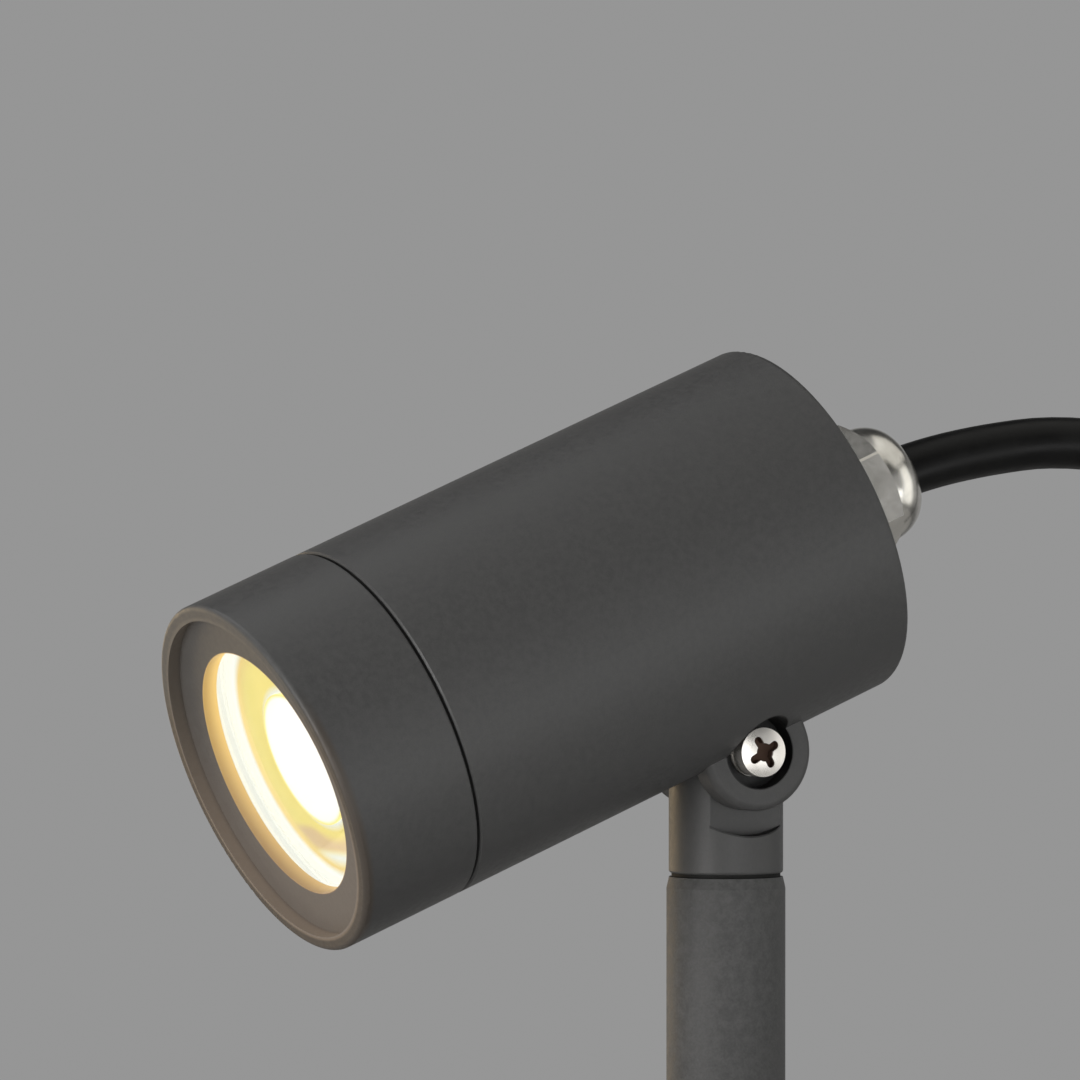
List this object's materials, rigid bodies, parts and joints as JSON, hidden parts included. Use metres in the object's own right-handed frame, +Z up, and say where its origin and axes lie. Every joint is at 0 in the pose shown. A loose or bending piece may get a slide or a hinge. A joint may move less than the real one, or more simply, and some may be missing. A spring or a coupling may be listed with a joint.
{
  "type": "landscape spotlight",
  "caption": "Outdoor spotlight: tubular tilting head with screw-on front ring and lit reflector lamp, forked tilt joint, swivelling round stem on a ground spike, rubber cord with plug.",
  "frame": {"origin": "middle of the spike collar's underside, at soil level, on the stem axis", "axes": "+Z up along the stem, the head faces -Y with its front below level, +X is the side of the tilt screw's head"},
  "size_m": [0.1191, 0.245, 0.3634],
  "materials": {
    "coat": "fine matte powder coat",
    "stem_coat": "fine matte powder coat",
    "glass": "clear toughened",
    "silicone": "translucent silicone",
    "seal_rubber": "matt rubber",
    "lamp_white": "white",
    "lamp_lens": "clear, lit",
    "lamp_optic": "clear, lit",
    "pin_metal": "bare",
    "ceramic": "glazed",
    "plate_metal": "mill",
    "steel": "bright",
    "screw_nickel": "nickel plated",
    "gland_nickel": "nickel plated, bright",
    "block_plastic": "moulded",
    "wire_brown": "matt",
    "wire_blue": "matt",
    "wire_green": "matt",
    "wire_white": "woven sleeve",
    "cord_rubber": "satin",
    "ptfe": "smooth",
    "spike_plastic": "moulded",
    "tie_fabric": "hook and loop"
  },
  "bodies": {
    "stem": {"stem": "stem_coat", "stem_bush": "plate_metal", "ground_spike": "spike_plastic", "stem_grub_screw": "steel"},
    "knuckle": {"knuckle": "coat", "knuckle_o_ring": "seal_rubber", "swivel_ring": "ptfe", "swivel_bolt": "steel", "swivel_washer": "steel", "cord_lead": "cord_rubber", "cord_coil": "cord_rubber", "cord_tie": "tie_fabric", "plug_body": "cord_rubber", "plug_pins": "screw_nickel", "plug_clips": "screw_nickel"},
    "glass": {"front_glass": "glass", "glass_gasket": "silicone"},
    "front_ring": {"front_ring": "coat"},
    "lamp": {"lamp_body": "lamp_white", "lamp_lens": "lamp_lens", "lamp_optic": "lamp_optic", "lamp_pins": "pin_metal"},
    "head": {"head_housing": "coat", "front_o_ring": "seal_rubber", "lampholder": "ceramic", "lampholder_plate": "plate_metal", "plate_screws": "steel", "lampholder_screws": "steel", "lampholder_leads": "wire_white", "terminal_block": "block_plastic", "terminal_screws": "steel", "core_live": "wire_brown", "core_neutral": "wire_blue", "core_earth": "wire_green", "earth_tag": "steel", "earth_screw": "steel", "gland_washer": "seal_rubber", "gland_body": "gland_nickel", "gland_nut": "gland_nickel", "gland_seal": "seal_rubber", "gland_locknut": "gland_nickel", "cord_tail": "cord_rubber", "pivot_screw": "screw_nickel", "pivot_flat_washer": "steel", "pivot_spring_washer": "steel", "pivot_nut": "screw_nickel"}
  },
  "joints": [
    {"name": "stem_swivel", "type": "hinge", "parent": "stem", "child": "knuckle", "pos_m": [0, 0, 0.113], "axis": [0, 0, 1], "range_deg": [-180, 180]},
    {"name": "head_tilt", "type": "hinge", "parent": "knuckle", "child": "head", "pos_m": [0, 0, 0.1334], "axis": [-1, 0, 0], "range_deg": [-22.16, 82.84], "deforming": ["cord_lead"]},
    {"name": "ring_travel", "type": "slide", "parent": "head", "child": "glass", "axis": [0, -0.9216, -0.3882], "range_m": [0, 0.006]},
    {"name": "ring_turn", "type": "hinge", "parent": "glass", "child": "front_ring", "pos_m": [0, -0.01133, 0.16031], "axis": [0, -0.9216, -0.3882], "range_deg": [0, 1080]},
    {"name": "lamp_twist", "type": "hinge", "parent": "head", "child": "lamp", "pos_m": [0, -0.01133, 0.16031], "axis": [0, 0.9216, 0.3882], "range_deg": [0, 30]}
  ],
  "couplings": [
    {"joint": "ring_travel", "follows": "ring_turn", "m_per_rad": 0.00031831}
  ]
}
